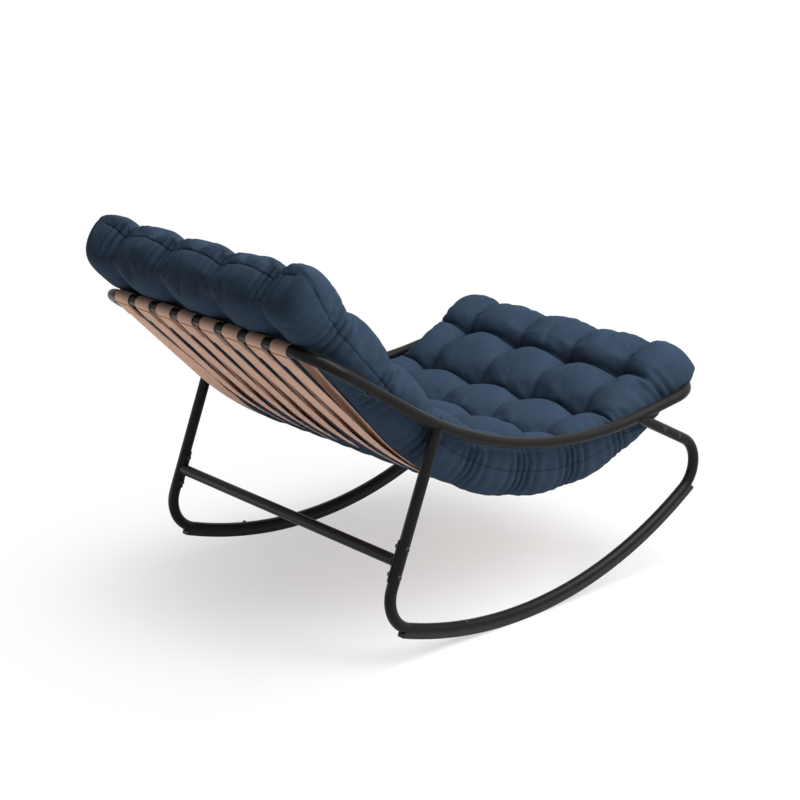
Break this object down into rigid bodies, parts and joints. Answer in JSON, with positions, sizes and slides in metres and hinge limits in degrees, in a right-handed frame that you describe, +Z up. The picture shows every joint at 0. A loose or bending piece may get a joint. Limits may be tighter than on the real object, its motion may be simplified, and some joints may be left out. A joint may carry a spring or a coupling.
{
  "type": "rocking lounge chair",
  "caption": "Low rocking lounge chair: bent tube frame on curved rockers, webbing strap sling and a loose tufted pad that runs from headrest to seat front.",
  "frame": {"origin": "on the floor, midway between the two points where the rockers touch it at rest", "axes": "+Z up, +Y to the back of the chair, +X to the sitter's left"},
  "size_m": [0.813, 1.1989, 0.8598],
  "materials": {
    "frame_coating": "satin charcoal powder coat",
    "strip_plastic": "matte dark grey plastic",
    "hardware": "black coated steel",
    "webbing": "plain woven beige webbing",
    "cushion_cloth": "plain woven blue-grey cloth"
  },
  "bodies": {
    "frame": {"back_rail": "frame_coating", "front_rail": "frame_coating", "crossbar": "frame_coating", "side_rail_left": "frame_coating", "rear_upright_left": "frame_coating", "front_stub_left": "frame_coating", "rocker_left": "frame_coating", "saddle_left": "frame_coating", "side_rail_right": "frame_coating", "rear_upright_right": "frame_coating", "front_stub_right": "frame_coating", "rocker_right": "frame_coating", "saddle_right": "frame_coating", "rocker_strip_left": "strip_plastic", "rocker_strip_right": "strip_plastic", "crossbar_bolts": "hardware", "crossbar_nuts": "hardware", "leg_bolts": "hardware", "leg_inserts": "hardware", "rail_bolts": "hardware", "rail_nuts": "hardware", "strip_screws": "hardware", "rocker_rivets": "hardware", "strap_1": "webbing", "strap_2": "webbing", "strap_3": "webbing", "strap_4": "webbing", "strap_5": "webbing", "strap_6": "webbing", "strap_7": "webbing", "strap_8": "webbing"},
    "cushion": {"cushion": "cushion_cloth"}
  },
  "joints": [
    {"name": "cushion_lift", "type": "slide", "parent": "frame", "child": "cushion", "axis": [0, 0, 1], "range_m": [0, 0.4]}
  ]
}
